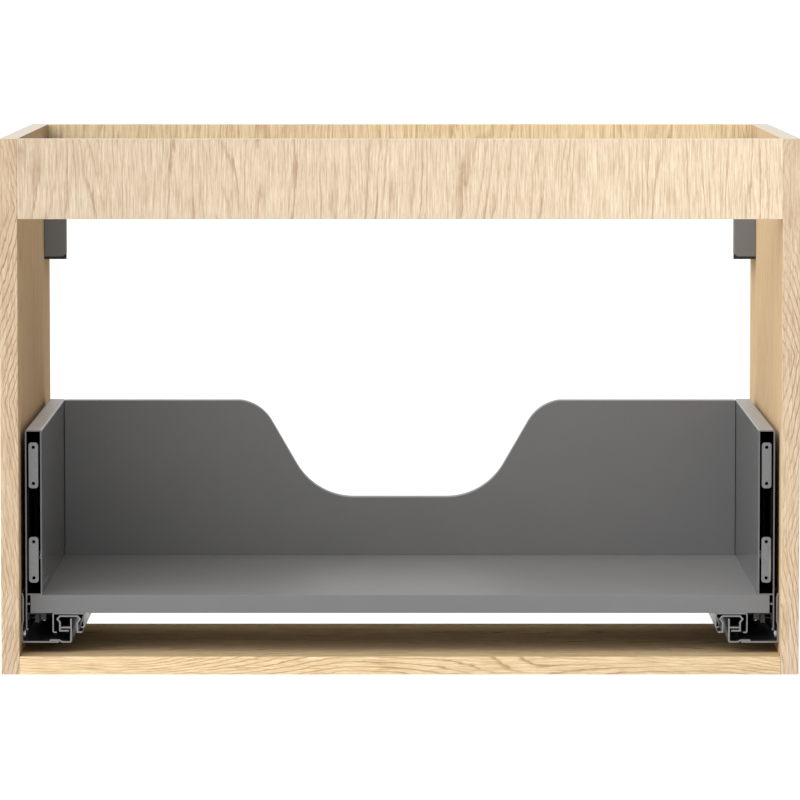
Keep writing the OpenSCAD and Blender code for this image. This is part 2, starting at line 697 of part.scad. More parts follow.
// Drawer box
module side_section() {
    r = side_top_r;
    inner_r = max(r - sheet_t, 0.1);
    outline = concat(
        [[side_gap, floor_z - skirt_drop], [side_gap, floor_top]],
        arc_points([side_gap + r, side_top - r], r, 180, 90, 6),
        arc_points([side_u1 - r, side_top - r], r, 90, 0, 6),
        [[side_u1, floor_top], [hollow_u0, floor_top], [hollow_u0, floor_z - skirt_drop]]
    );
    hollow = concat(
        [[hollow_u0, floor_top + sheet_t]],
        arc_points([hollow_u0 + inner_r, side_top - sheet_t - inner_r], inner_r, 180, 90, 3),
        arc_points([hollow_u1 - inner_r, side_top - sheet_t - inner_r], inner_r, 90, 0, 3),
        [[hollow_u1, floor_top + sheet_t]]
    );
    difference() {
        polygon(outline);
        polygon(hollow);
    }
}
module drawer_side(side) {
    lance_h = 1.4;
    color("dimgray") on_side(side) {
        difference() {
            along_y(drawer_y0, drawer_l) side_section();
            block([hollow_u1 - 1, drawer_y0 + cap_inset, cap_z - cap_h / 2],
                [side_u1 + 1, drawer_y0 + cap_inset + cap_l, cap_z + cap_h / 2]);
            rod_x(side_gap - 1, hollow_u0 + 1, height_adjuster_y, adjuster_z, shaft_r + bore_play);
        }
        for (i = [0:2]) block(
            [hollow_u0 - 0.3, drawer_y0 + 0.5 + i * (drawer_l - 31) / 2, floor_z + floor_t / 2 - lance_h / 2],
            [floor_u - 0.2, drawer_y0 + 30.5 + i * (drawer_l - 31) / 2, floor_z + floor_t / 2 + lance_h / 2]);
    }
}
module drawer_floor() {
    sink_r = floor_head_r + 0.9;
    color("dimgray") difference() {
        block([-inner_w / 2 + floor_u, drawer_y0, floor_z], [inner_w / 2 - floor_u, drawer_y1, floor_top]);
        for (x = floor_screw_xs()) {
            rod_z(floor_z - 1, floor_top + 1, x, drawer_y1 - back_t / 2, floor_screw_r + bore_play);
            translate([x, drawer_y1 - back_t / 2, floor_z])
                cylinder(h = sink_r - floor_screw_r, r1 = sink_r, r2 = floor_screw_r);
        }
        for (side = ["left", "right"]) on_side(side) {
            rod_y(drawer_y1 - 7.5, drawer_y1 + 1, runner_u, floor_z + floor_t / 2, tail_pin_r + bore_play);
            for (y = catch_screw_ys())
                rod_z(floor_z - 1, floor_z + 9, catch_screw_u(), y, catch_screw_r + bore_play);
        }
    }
}
function floor_screw_xs() = [for (k = [-1.5:1:1.5]) k * back_w / 4.4];
function catch_screw_ys() = [drawer_y0 + 12, catch_y1 - 5];
function catch_screw_u() = catch_u1 - 2.5;

// Cut-out for the siphon: two arcs joined by a straight flank on each side
function half_notch() =
    let (down = 90, high = [notch_w / 2, side_top - notch_top_r])
    let (half_w = notch_w / 2 - (notch_top_r + notch_low_r) * sin(notch_slope)
        - (notch_depth - (notch_top_r + notch_low_r) * (1 - cos(notch_slope))) / tan(notch_slope))
    let (low = [half_w, side_top - notch_depth + notch_low_r])
    concat(
        arc_points(high, notch_top_r, down, down + notch_slope, 16),
        arc_points(low, notch_low_r, notch_slope - down, -down, 18));
module drawer_back() {
    half = half_notch();
    outline = concat(
        [[notch_w / 2 + 0.01, side_top + 5]], half,
        [for (i = [len(half) - 1:-1:0]) [-half[i][0], half[i][1]]],
        [[-notch_w / 2 - 0.01, side_top + 5]]);
    y0 = drawer_y1 - back_t;
    color("dimgray") difference() {
        block([-back_w / 2, y0, floor_top], [back_w / 2, drawer_y1, side_top - 0.4]);
        along_y(y0 - 1, back_t + 2) polygon(outline);
        for (x = floor_screw_xs())
            rod_z(floor_top - 1, floor_top + 20, x, drawer_y1 - back_t / 2, floor_screw_r + bore_play);
        for (side = ["left", "right"]) on_side(side) for (z = holder_screw_zs())
            rod_y(drawer_y1 - 13, drawer_y1 + 1, holder_screw_u(), z, holder_screw_r + bore_play);
    }
}
function holder_screw_zs() = [for (k = [0.2, 0.5, 0.8]) floor_top + k * side_h];
function holder_screw_u() = side_u1 + 22;
module back_holder(side) {
    holder_t = 1.5;
    reach = 34;
    play = 0.3;
    wall = 1.9;
    color("dimgray") on_side(side) difference() {
        union() {
            block([hollow_u0 + play, drawer_y1 - 20, floor_top + sheet_t + play],
                [hollow_u1 - play, drawer_y1 + 0.1, side_top - sheet_t - 1]);
            block([hollow_u0 + play, drawer_y1, floor_top + 6],
                [side_u1 + reach, drawer_y1 + holder_t, side_top - 8]);
        }
        block([hollow_u0 + play + wall, drawer_y1 - 21, floor_top + 6],
            [hollow_u1 - play - wall, drawer_y1 - 3, side_top - 8]);
        for (z = holder_screw_zs())
            rod_y(drawer_y1 - 1, drawer_y1 + holder_t + 1, holder_screw_u(), z, holder_screw_r + bore_play);
    }
}
module release_catch(side) {
    z0 = floor_z - catch_h;
    pocket_u = catch_u1 - 5;
    play = 0.3;
    color("darkslategray") on_side(side) difference() {
        block([catch_u0, drawer_y0 + 2, z0], [catch_u1, catch_y1, floor_z]);
        block([catch_u0 + 1, drawer_y0 + 1, lever_v - play],
            [pocket_u, catch_y1 - 2, lever_v + lever_t + play]);
        block([catch_u0 + 1, drawer_y0 + 1, z0 - 1], [pocket_u, drawer_y0 + 14, lever_v + 1]);
        block([pocket_u - 1, nose_y - 6, lever_v - play],
            [catch_u1 + 1, nose_y + 6, lever_v + lever_t + play]);
        for (y = catch_screw_ys()) rod_z(z0 - 1, floor_z + 1, catch_screw_u(), y, catch_screw_r + bore_play);
        rod_z(z0 - 1, floor_z - 0.8, lever_pivot[0], lever_pivot[1], 2 + bore_play);
    }
}
module release_lever(side) {
    z0 = lever_v;
    z1 = lever_v + lever_t;
    arm_w = 4;
    grip_y = drawer_y0 + 4;
    color("gray") on_side(side) {
        rod_z(floor_z - catch_h, floor_z - 1, lever_pivot[0], lever_pivot[1], 2);
        rod_z(z0, z1, lever_pivot[0], lever_pivot[1], 2.8);
        block([lever_pivot[0] - arm_w / 2, grip_y, z0], [lever_pivot[0] + arm_w / 2, lever_pivot[1], z1]);
        block([lever_pivot[0], nose_y - 2.5, z0], [rail_left_u + drawer_rail_t - 0.2, nose_y + 2.5, z1]);
        block([lever_pivot[0] - arm_w / 2, grip_y, floor_z - catch_h - 2.6],
            [lever_pivot[0] + arm_w / 2, grip_y + 7, z0 + 0.5]);
    }
}

// Front fixing inside the hollow sides
module front_carrier(side) {
    z0 = plate_zs[0] - tongue_h / 2 - guide_play - carrier_t - 6;
    z1 = plate_zs[1] + tongue_h / 2 + guide_play + carrier_t + 6;
    u1 = carrier_u + carrier_t;
    cam_reach = cam_r + cam_throw;
    color("darkgray") on_side(side) difference() {
        union() {
            block([carrier_u, drawer_y0 + 6, z0], [u1, height_adjuster_y + 12, z1]);
            for (z = plate_zs) for (s = [-1, 1]) {
                zc = z + s * (tongue_h / 2 + guide_play + carrier_t / 2);
                block([carrier_u, drawer_y0 + 6, zc - carrier_t / 2],
                    [carrier_edge_u, tongue_y, zc + carrier_t / 2]);
            }
        }
        block([carrier_u - 1, height_adjuster_y - cam_reach - cam_slack, adjuster_z - cam_r - cam_slack],
            [u1 + 1, height_adjuster_y + cam_reach, adjuster_z + cam_r + cam_slack]);
        block([carrier_u - 1, tongue_y + 6, adjuster_z + 14], [u1 + 1, height_adjuster_y + 20, z1 - 14]);
        rod_x(carrier_u - 1, u1 + 1, side_adjuster_y, adjuster_z, side_thread_r + bore_play);
    }
}
module front_bracket(side) {
    half_w = plate_w / 2;
    half_h = (plate_pitch + plate_w) / 2;
    color("silver") on_side(side) difference() {
        union() {
            for (z = plate_zs) {
                for (s = [-1, 1]) for (k = [-1, 1]) rod_y(drawer_y0, drawer_y0 + plate_t,
                    hollow_mid + k * (half_w - plate_r), z + s * (half_h - plate_r), plate_r);
                block([hollow_mid - half_w, drawer_y0, z - half_h + plate_r],
                    [hollow_mid + half_w, drawer_y0 + plate_t, z + half_h - plate_r]);
                block([hollow_mid - half_w + plate_r, drawer_y0, z - half_h],
                    [hollow_mid + half_w - plate_r, drawer_y0 + plate_t, z + half_h]);
                block([hollow_mid - tongue_w / 2, drawer_y0 + plate_t / 2, z - tongue_h / 2],
                    [hollow_mid + tongue_w / 2, tongue_y + bar_t, z + tongue_h / 2]);
            }
            block([hollow_mid - tongue_w / 2, tongue_y + 0.3, plate_zs[0] - tongue_h / 2],
                [hollow_mid + tongue_w / 2, tongue_y + bar_t, plate_zs[1] + tongue_h / 2]);
        }
        for (z = plate_zs) for (s = [-1, 1])
            rod_y(drawer_y0 - 1, drawer_y0 + plate_t + 1, hollow_mid, z + s * plate_pitch / 2,
                plate_hole_d / 2);
        rod_x(hollow_mid - 5, hollow_mid + 5, side_adjuster_y, adjuster_z, side_thread_r + bore_play);
    }
}
module screw_head_cross(u, y, z) {
    for (a = [0, 90]) translate([u, y, z]) rotate([a, 0, 0]) cube([1.6, 0.9, 4.4], center = true);
}
module height_adjuster(side) {
    color("silver") on_side(side) difference() {
        union() {
            rod_x(side_gap, hollow_u1 - 2.8, height_adjuster_y, adjuster_z, shaft_r);
            rod_x(carrier_u, carrier_u + carrier_t + 0.8, height_adjuster_y - cam_throw, adjuster_z, cam_r);
            rod_x(hollow_u1 - 3.4, hollow_u1 - 1.2, height_adjuster_y, adjuster_z, 4);
        }
        screw_head_cross(hollow_u1 - 1.2, height_adjuster_y, adjuster_z);
    }
}
module side_adjuster(side) {
    head_t = 1.4;
    color("silver") on_side(side) difference() {
        union() {
            rod_x(carrier_u, head_u + 0.5, side_adjuster_y, adjuster_z, side_thread_r);
            rod_x(head_u, head_u + head_t, side_adjuster_y, adjuster_z, side_thread_r + 1.4);
        }
        screw_head_cross(head_u + head_t, side_adjuster_y, adjuster_z);
    }
}
module cover_cap(side) {
    y0 = drawer_y0 + cap_inset + cap_gap;
    y1 = drawer_y0 + cap_inset + cap_l - cap_gap;
    z0 = cap_z - cap_h / 2 + cap_gap;
    z1 = cap_z + cap_h / 2 - cap_gap;
    clip_t = 1;
    clip_w = 8;
    mid = (y0 + y1) / 2;
    color("dimgray") on_side(side) {
        block([hollow_u1, y0, z0], [side_u1, y1, z1]);
        for (s = [-1, 1]) {
            y = mid + s * 22 - clip_w / 2;
            block([hollow_u1 - 0.1 - clip_t, y, z0 - 1.4], [hollow_u1 - 0.1, y + clip_w, z1 + 1.4]);
            block([hollow_u1 - 0.2, y, z0 + 0.5], [hollow_u1 + 0.2, y + clip_w, z1 - 0.5]);
        }
    }
}
module drawer_screws() {
    color("silver") {
        for (x = floor_screw_xs())
            translate([x, drawer_y1 - back_t / 2, floor_z + 0.2]) csk_screw(34, floor_screw_r, floor_head_r);
        for (side = ["left", "right"]) on_side(side) {
            for (z = holder_screw_zs()) {
                rod_y(drawer_y1 - 12, drawer_y1 + 1.7, holder_screw_u(), z, holder_screw_r);
                rod_y(drawer_y1 + 1.5, drawer_y1 + 3.1, holder_screw_u(), z, holder_screw_r + 1.5);
            }
            for (y = catch_screw_ys()) {
                rod_z(floor_z - catch_h - 0.2, floor_z + 8, catch_screw_u(), y, catch_screw_r);
                rod_z(floor_z - catch_h - 1.4, floor_z - catch_h, catch_screw_u(), y, catch_screw_r + 0.6);
            }
        }
    }
}

side_panel("left");  // side_panel_left
side_panel("right");  // side_panel_right
bottom_board();
front_rail();
rear_rail();
carcass_dowels();
cam_fittings();
hanger_frame("left");  // hanger_frame_left
hanger_frame("right");  // hanger_frame_right
hanger_cover("left");  // hanger_cover_left
hanger_cover("right");  // hanger_cover_right
hanger_carriage("left");  // hanger_carriage_left
hanger_carriage("right");  // hanger_carriage_right
hanger_hook("left");  // hanger_hook_left
hanger_hook("right");  // hanger_hook_right
hanger_height_screw("left");  // hanger_height_screw_left
hanger_height_screw("right");  // hanger_height_screw_right
hanger_depth_screw("left");  // hanger_depth_screw_left
hanger_depth_screw("right");  // hanger_depth_screw_right
hanger_fixing_screws();
runner_bracket("left");  // runner_bracket_left
runner_bracket("right");  // runner_bracket_right
cabinet_rail("left");  // cabinet_rail_left
cabinet_rail("right");  // cabinet_rail_right
middle_rail("left");  // middle_rail_left
middle_rail("right");  // middle_rail_right
drawer_rail("left");  // drawer_rail_left
drawer_rail("right");  // drawer_rail_right
lower_cage("left");  // lower_cage_left
lower_cage("right");  // lower_cage_right
lower_rollers("left");  // lower_rollers_left
lower_rollers("right");  // lower_rollers_right
upper_cage("left");  // upper_cage_left
upper_cage("right");  // upper_cage_right
upper_balls("left");  // upper_balls_left
upper_balls("right");  // upper_balls_right
closing_damper("left");  // closing_damper_left
closing_damper("right");  // closing_damper_right
runner_screws();
drawer_side("left");  // drawer_side_left
drawer_side("right");  // drawer_side_right
drawer_floor();
drawer_back();
back_holder("left");  // back_holder_left
back_holder("right");  // back_holder_right
release_catch("left");  // release_catch_left
release_catch("right");  // release_catch_right
release_lever("left");  // release_lever_left
release_lever("right");  // release_lever_right
front_carrier("left");  // front_carrier_left
front_carrier("right");  // front_carrier_right
front_bracket("left");  // front_bracket_left
front_bracket("right");  // front_bracket_right
height_adjuster("left");  // height_adjuster_left
height_adjuster("right");  // height_adjuster_right
side_adjuster("left");  // side_adjuster_left
side_adjuster("right");  // side_adjuster_right
cover_cap("left");  // cover_cap_left
cover_cap("right");  // cover_cap_right
drawer_screws();
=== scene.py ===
import bpy, bmesh, json, math
from mathutils import Matrix, Vector


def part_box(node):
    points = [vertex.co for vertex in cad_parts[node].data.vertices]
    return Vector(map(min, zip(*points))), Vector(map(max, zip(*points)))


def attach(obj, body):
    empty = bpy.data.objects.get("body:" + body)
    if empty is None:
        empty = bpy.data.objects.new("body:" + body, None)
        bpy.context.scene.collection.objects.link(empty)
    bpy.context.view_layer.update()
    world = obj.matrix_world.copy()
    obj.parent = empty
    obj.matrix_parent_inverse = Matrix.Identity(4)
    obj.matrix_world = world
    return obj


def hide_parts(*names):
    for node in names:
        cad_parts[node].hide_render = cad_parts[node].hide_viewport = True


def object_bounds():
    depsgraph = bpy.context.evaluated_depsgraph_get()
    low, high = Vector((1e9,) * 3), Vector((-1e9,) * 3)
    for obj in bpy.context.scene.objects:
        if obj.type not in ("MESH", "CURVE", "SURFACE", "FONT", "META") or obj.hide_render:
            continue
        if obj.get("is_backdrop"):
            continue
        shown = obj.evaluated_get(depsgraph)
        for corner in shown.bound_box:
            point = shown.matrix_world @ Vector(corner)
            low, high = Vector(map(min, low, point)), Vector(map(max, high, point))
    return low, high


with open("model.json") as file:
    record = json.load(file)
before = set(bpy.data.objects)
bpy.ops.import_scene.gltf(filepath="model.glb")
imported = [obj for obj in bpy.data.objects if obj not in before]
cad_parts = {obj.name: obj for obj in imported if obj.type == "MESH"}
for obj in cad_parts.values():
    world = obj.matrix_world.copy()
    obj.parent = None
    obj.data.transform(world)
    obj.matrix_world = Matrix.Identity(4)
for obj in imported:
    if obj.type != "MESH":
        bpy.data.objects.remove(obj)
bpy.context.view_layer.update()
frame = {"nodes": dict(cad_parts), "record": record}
bodyOf = {name: body for body, names in frame["record"]["behaviour"]["bodies"].items() for name in names}
sides = ("left", "right")
mm = 0.001
innerWall = 334 * mm  # from the cabinet's middle to the side panels' inner faces
print("frame loaded:", len(frame["nodes"]), "nodes")


# Camera: metres, degrees down from level, and millimetres of lens and sensor

view = {"place": (0, -5.100, 0.626), "tilt": 4.506, "lens": 251.6, "sensor": 36, "farthest": 1000}
camera = bpy.data.objects.new("camera", bpy.data.cameras.new("camera"))
bpy.context.scene.collection.objects.link(camera)
camera.location = view["place"]
camera.rotation_euler = (math.radians(90 - view["tilt"]), 0, 0)
camera.data.lens = view["lens"]
camera.data.sensor_width = view["sensor"]
camera.data.clip_end = view["farthest"]
bpy.context.scene.camera = camera


# White sky, brighter from the left than from the right, and plain white where the camera looks at it

studio = {
    "skyLeft": 1.08, "skyRight": 0.44, "skySeen": 1.0,
    "lampFrom": (-0.62, -0.38, 0.70), "lampStrength": 2.3, "lampWidth": 80,  # degrees across
    "lampColour": (1.0, 0.99, 0.975),
}
world = bpy.data.worlds.new("studioWhite")
world.use_nodes = True
skyTree = world.node_tree
sky = skyTree.nodes["Background"]
sky.inputs["Color"].default_value = (1, 1, 1, 1)
direction = skyTree.nodes.new("ShaderNodeSeparateXYZ")
skyTree.links.new(skyTree.nodes.new("ShaderNodeTexCoord").outputs["Generated"], direction.inputs[0])
fade = skyTree.nodes.new("ShaderNodeMapRange")
fade.inputs["From Min"].default_value = -1
fade.inputs["To Min"].default_value = studio["skyLeft"]
fade.inputs["To Max"].default_value = studio["skyRight"]
skyTree.links.new(direction.outputs[0], fade.inputs["Value"])
seen = skyTree.nodes.new("ShaderNodeMapRange")
seen.inputs["To Max"].default_value = studio["skySeen"]
skyTree.links.new(fade.outputs[0], seen.inputs["To Min"])
skyTree.links.new(skyTree.nodes.new("ShaderNodeLightPath").outputs["Is Camera Ray"], seen.inputs["Value"])
skyTree.links.new(seen.outputs[0], sky.inputs["Strength"])
bpy.context.scene.world = world
bpy.context.scene.view_settings.view_transform = "Standard"

skyLamp = bpy.data.objects.new("skyLamp", bpy.data.lights.new("skyLamp", "SUN"))
skyLamp.data.energy = studio["lampStrength"]
skyLamp.data.angle = math.radians(studio["lampWidth"])
skyLamp.data.color = studio["lampColour"]
skyLamp.rotation_euler = Vector(studio["lampFrom"]).to_track_quat("Z", "Y").to_euler()
bpy.context.scene.collection.objects.link(skyLamp)
print("camera, sky and lamp placed")


# Short hand for building one material's nodes

class Finish:
    def __init__(self, name):
        self.material = bpy.data.materials.new(name)
        self.material.use_nodes = True
        self.tree = self.material.node_tree
        self.shader = self.tree.nodes["Principled BSDF"]

    def put(self, socket, value):
        if isinstance(value, bpy.types.NodeSocket):
            self.tree.links.new(value, socket)
        else:
            socket.default_value = value

    def node(self, kind, inputs, **settings):
        made = self.tree.nodes.new("ShaderNode" + kind)
        for key, value in settings.items():
            setattr(made, key, value)
        for key, value in inputs.items():
            self.put(made.inputs[key], value)
        return made

    def calc(self, operation, first, second=0.0):
        return self.node("Math", {0: first, 1: second}, operation=operation).outputs[0]

    def vector(self, x, y, z):
        return self.node("CombineXYZ", {0: x, 1: y, 2: z}).outputs[0]

    def split(self, vector):
        return self.node("SeparateXYZ", {0: vector}).outputs

    def place(self):
        return self.node("TexCoord", {}).outputs["Object"]

    def facing(self):
        return self.split(self.node("TexCoord", {}).outputs["Normal"])

    def noise(self, vector, scale, detail=2.0, roughness=0.5):
        inputs = {"Vector": vector, "Scale": scale, "Detail": detail, "Roughness": roughness}
        return self.node("TexNoise", inputs).outputs[0]

    def ramp(self, value, stops):
        made = self.node("ValToRGB", {0: value})
        band = made.color_ramp
        while len(band.elements) < len(stops):
            band.elements.new(0.5)
        for element, (place, colour) in zip(band.elements, stops):
            element.position = place
            element.color = (*colour, 1)
        return made.outputs[0]

    def mix(self, amount, first, second):
        made = self.node("Mix", {0: amount}, data_type="RGBA", blend_type="MIX")
        self.put(made.inputs[6], first)
        self.put(made.inputs[7], second)
        return made.outputs[2]

    def pick(self, switch, off, on):
        rise = self.calc("MULTIPLY", switch, self.calc("SUBTRACT", on, off))
        return self.calc("ADD", off, rise)

    def span(self, value, low, high, newLow, newHigh):
        inputs = {"Value": value, "From Min": low, "From Max": high, "To Min": newLow, "To Max": newHigh}
        return self.node("MapRange", inputs).outputs[0]

    def vary(self, noise, low, high):  # most of a noise lies between 0.3 and 0.7
        return self.span(noise, 0.3, 0.7, low, high)

    def brighten(self, colour, factor):
        return self.node("VectorMath", {0: colour, 3: factor}, operation="SCALE").outputs[0]

    def stain(self, colour, tint):
        return self.node("VectorMath", {0: colour, 1: tint}, operation="MULTIPLY").outputs[0]

    def bump(self, height, strength, distance):
        inputs = {"Height": height, "Strength": strength, "Distance": distance}
        self.put(self.shader.inputs["Normal"], self.node("Bump", inputs).outputs[0])

    def set(self, **sockets):
        for key, value in sockets.items():
            self.put(self.shader.inputs[key.replace("_", " ")], value)


# Oak-effect foil: fine fibres, dark growth lines that swell, lean and fade, and short pores

oak = {
    "shades": [(0.32, (0.50, 0.355, 0.23)), (0.49, (0.69, 0.545, 0.392)), (0.64, (0.80, 0.675, 0.515))],
    "fibreShare": 0.93,  # the rest of the shade comes from the broad bands
    "bandShade": (0.99, 1.01),
    "line": (0.41, 0.262, 0.158),
    "pore": (0.50, 0.355, 0.23), "poreFrom": 0.62, "poreTo": 0.72, "poreStrength": 0.6,
    "poreBump": 0.3, "poreDepth": 0.03 * mm,
    # the side panels' top edges: a plain edge band, made lighter as painted sheen
    "edgeBandAndSheen": (0.80, 0.70, 0.56), "edgeBandAndSheenCover": 0.9,  # plain band that closes a side panel's top edge
    "plain": (0.72, 0.58, 0.425), "plainCover": 0.5,  # calmer foil on the side panels' inner faces
    "insideSkin": 0.5 * mm,  # the inner faces lie no further than this behind innerWall
    "roughness": 0.5, "unevenness": (-0.05, 0.05), "gloss": 0.3, "glossPerSheen": 1.5,
    "shiftAcross": 0.37, "shiftAlong": 0.61,  # per seed
    "waver": [(24, 0.3, 0.006), (75, 0.35, 0.0028)],  # scale, stretch along the grain, reach
    "streaks": {  # stretch along the grain, scale, detail, layer, roughness
        "fibres": (0.04, 760, 3.0, 3.0, 0.75), "bands": (0.12, 130, 2.0, 8.0, 0.55),
        "ragged": (0.12, 330, 2.0, 17.0, 0.55), "faint": (0.1, 55, 2.0, 21.0, 0.55),
        "pores": (0.05, 1500, 1.0, 5.0, 0.5),
    },
    # growth lines: scale and stretch of their swelling, how many years it swings, years per metre across,
    # how far they lean, and how dark they are
    "faceRings": {"scale": 17, "stretch": 0.13, "swing": 14, "perMetre": 110, "slant": 0.0, "depth": 0.85},
    "edgeRings": {"scale": 16, "stretch": 0.16, "swing": 12, "perMetre": 260, "slant": 0.26, "depth": 1.15},
    "boardRings": {"scale": 14, "stretch": 0.2, "swing": 26, "perMetre": 150, "slant": 0.1, "depth": 1.1},
    "raggedness": 0.7, "turnsAfter": 0.17,  # in years, and metres along the grain until the lean turns back
    "faintFrom": 0.36, "faintTo": 0.62,
    "lateWood": [(0.0, (0, 0, 0)), (0.66, (0, 0, 0)), (0.9, (1, 1, 1)), (1.0, (0, 0, 0))],
}
oakBoards = {
    # inside: painted shade on the side panels' inner faces, the left one darker than the right
    "oakLeft": {"seed": 1, "tint": (0.83, 0.79, 0.73), "inside": (0.725, 0.65, 0.55),
                "topEdge": "y", "rings": "edgeRings"},
    "oakRight": {"seed": 4, "tint": (0.88, 0.85, 0.81), "inside": (0.84, 0.77, 0.64),
                 "topEdge": "y", "rings": "edgeRings"},
    # paintedLightSlope: painted light, a board's tone rises by this much per metre towards +X (falls where
    # negative)
    "oakFront": {"seed": 7, "tint": (0.98, 0.99, 0.99), "paintedLightSlope": 0.34},
    # the rear rail's tint lies above one: painted light, so the shaded rail looks lit
    "oakRear": {"seed": 10, "tint": (1.16, 1.14, 0.98), "paintedLightSlope": 0.2},
    # oakBottom's paintedTopShade is painted shade and light on its top face
    "oakBottom": {"seed": 9, "tint": (1.03, 0.97, 0.79), "paintedLightSlope": -0.2, "grain": "level",
                  "rings": "boardRings", "sheen": -0.2, "paintedTopShade": (-0.22, -0.02, 0.7, 1.7)},
}
squareOn = 0.7  # a face looks along an axis when its normal has more than this of it


# Where a point lies along and across the grain, and the same across with the fibres' wavering
def grainRun(look, axes, level, sideways, grain, topEdge, seed):
    x, y, z = axes
    if grain == "upright":
        along = look.pick(level, z, x if topEdge == "x" else y)
        across = look.pick(level, look.pick(sideways, x, y), y if topEdge == "x" else x)
    else:
        along = x
        across = look.pick(level, z, y)
    across = look.calc("ADD", across, seed * oak["shiftAcross"])
    along = look.calc("ADD", along, seed * oak["shiftAlong"])
    line = across
    for scale, stretch, reach in oak["waver"]:
        waver = look.noise(look.vector(across, look.calc("MULTIPLY", along, stretch), seed), scale, 1.0)
        line = look.calc("ADD", line, look.calc("MULTIPLY", look.calc("SUBTRACT", waver, 0.5), reach))
    return along, across, line


def streaks(look, kind, along, line):
    stretch, scale, detail, layer, roughness = oak["streaks"][kind]
    place = look.vector(line, look.calc("MULTIPLY", along, stretch), layer)
    return look.noise(place, scale, detail, roughness)


# Wide faces take the face's own rings, so that only a board's narrow edges have the other kind
def growthLines(look, rings, wide, along, across, line, seed):
    growth, onFace = oak[rings], oak["faceRings"]
    swing, perMetre, slant = [look.pick(wide, growth[key], onFace[key])
                              for key in ("swing", "perMetre", "slant")]
    place = look.vector(across, look.calc("MULTIPLY", along, growth["stretch"]), 2.0 + seed)
    swell = look.noise(place, growth["scale"], 1.0)
    ragged = look.calc("MULTIPLY", streaks(look, "ragged", along, line), oak["raggedness"])
    years = look.calc("ADD", look.calc("MULTIPLY", swell, swing), ragged)
    lean = look.calc("MULTIPLY", look.calc("PINGPONG", along, oak["turnsAfter"]), slant)
    years = look.calc("ADD", years, look.calc("MULTIPLY", look.calc("ADD", across, lean), perMetre))
    lateWood = look.ramp(look.calc("FRACT", years), oak["lateWood"])
    faint = streaks(look, "faint", along, line)
    strength = look.span(faint, oak["faintFrom"], oak["faintTo"], 0.0, growth["depth"])
    return look.calc("MULTIPLY", lateWood, strength)


def oakFinish(name, seed, tint, grain="upright", topEdge="x", rings="faceRings", paintedLightSlope=0.0, inside=None,
              sheen=0.24, paintedTopShade=None):
    look = Finish(name)
    axes, facing = look.split(look.place()), look.facing()
    level = look.calc("GREATER_THAN", look.calc("ABSOLUTE", facing[2]), squareOn)
    sideways = look.calc("GREATER_THAN", look.calc("ABSOLUTE", facing[0]), squareOn)
    notLevel = look.calc("SUBTRACT", 1.0, level)
    along, across, line = grainRun(look, axes, level, sideways, grain, topEdge, seed)

    fibres, bands, pores = [streaks(look, kind, along, line) for kind in ("fibres", "bands", "pores")]
    body = look.calc("ADD", look.calc("MULTIPLY", fibres, oak["fibreShare"]),
                     look.calc("MULTIPLY", bands, 1 - oak["fibreShare"]))
    wide = look.calc("MAXIMUM", sideways, level)
    lines = growthLines(look, rings, wide, along, across, line, seed)
    wood = look.mix(lines, look.ramp(body, oak["shades"]), (*oak["line"], 1))
    poreMark = look.span(pores, oak["poreFrom"], oak["poreTo"], 0.0, oak["poreStrength"])
    if topEdge == "y":
        poreMark = look.calc("MULTIPLY", poreMark, notLevel)
    wood = look.mix(poreMark, wood, (*oak["pore"], 1))
    # painted sheen: the top edges take a plain light band, partly the real edge band
    if topEdge == "y":
        wood = look.mix(look.calc("MULTIPLY", level, oak["edgeBandAndSheenCover"]), wood, (*oak["edgeBandAndSheen"], 1))

    # painted light: the tone slopes across X, so the board looks lit more from one side
    tone = look.calc("ADD", look.vary(bands, *oak["bandShade"]), look.calc("MULTIPLY", axes[0], paintedLightSlope))
    # painted shade and light: the top is darker at the front under the drawer and lighter towards the open
    # back
    if paintedTopShade:  # from this Y to that Y, the top's tone goes from one factor to the other
        tone = look.calc("MULTIPLY", tone, look.pick(level, 1.0, look.span(axes[1], *paintedTopShade)))
    wood = look.brighten(wood, tone)
    gloss = look.calc("ADD", oak["gloss"], look.calc("MULTIPLY", level, sheen * oak["glossPerSheen"]))
    if inside:
        reach = innerWall + oak["insideSkin"]
        within = look.calc("LESS_THAN", look.calc("ABSOLUTE", axes[0]), reach)
        within = look.calc("MULTIPLY", within, sideways)
        wood = look.mix(look.calc("MULTIPLY", within, oak["plainCover"]), wood, (*oak["plain"], 1))
        # painted shade: the inner faces take their own, darker tint
        tint = look.mix(within, (*tint, 1), (*inside, 1))
        gloss = look.calc("SUBTRACT", gloss, look.calc("MULTIPLY", within, oak["gloss"]))
    uneven = look.calc("MULTIPLY", look.vary(fibres, *oak["unevenness"]), notLevel)
    rough = look.calc("ADD", uneven, oak["roughness"])
    rough = look.calc("SUBTRACT", rough, look.calc("MULTIPLY", level, sheen))
    look.set(Base_Color=look.stain(wood, tint), Roughness=rough, Specular_IOR_Level=gloss)
    look.bump(look.calc("MULTIPLY", poreMark, -1.0), oak["poreBump"], oak["poreDepth"])
    return look.material


# Metals: folded sheet, castings, screws and balls

metals = {
    "galvanised": {"colour": (0.27, 0.27, 0.275), "spangle": 240, "roughness": 0.38},
    "plateSteel": {"colour": (0.232, 0.233, 0.237), "spangle": 500, "roughness": 0.4},
    "darkSteel": {"colour": (0.055, 0.054, 0.052), "spangle": 300, "roughness": 0.45},
    "castZinc": {"colour": (0.56, 0.56, 0.57), "spangle": 1500, "roughness": 0.42},
    "brightScrew": {"colour": (0.68, 0.68, 0.69), "spangle": 900, "roughness": 0.26},
}
metalSkin = {
    "cellShade": (0.93, 1.05), "cellRough": (-0.04, 0.05),
    "drawnScale": 2200, "drawnStretch": 0.03, "drawnShade": (-0.06, 0.06), "drawnRough": 0.05,
    "drawnStrength": 0.2, "drawnDepth": 0.02 * mm,
}


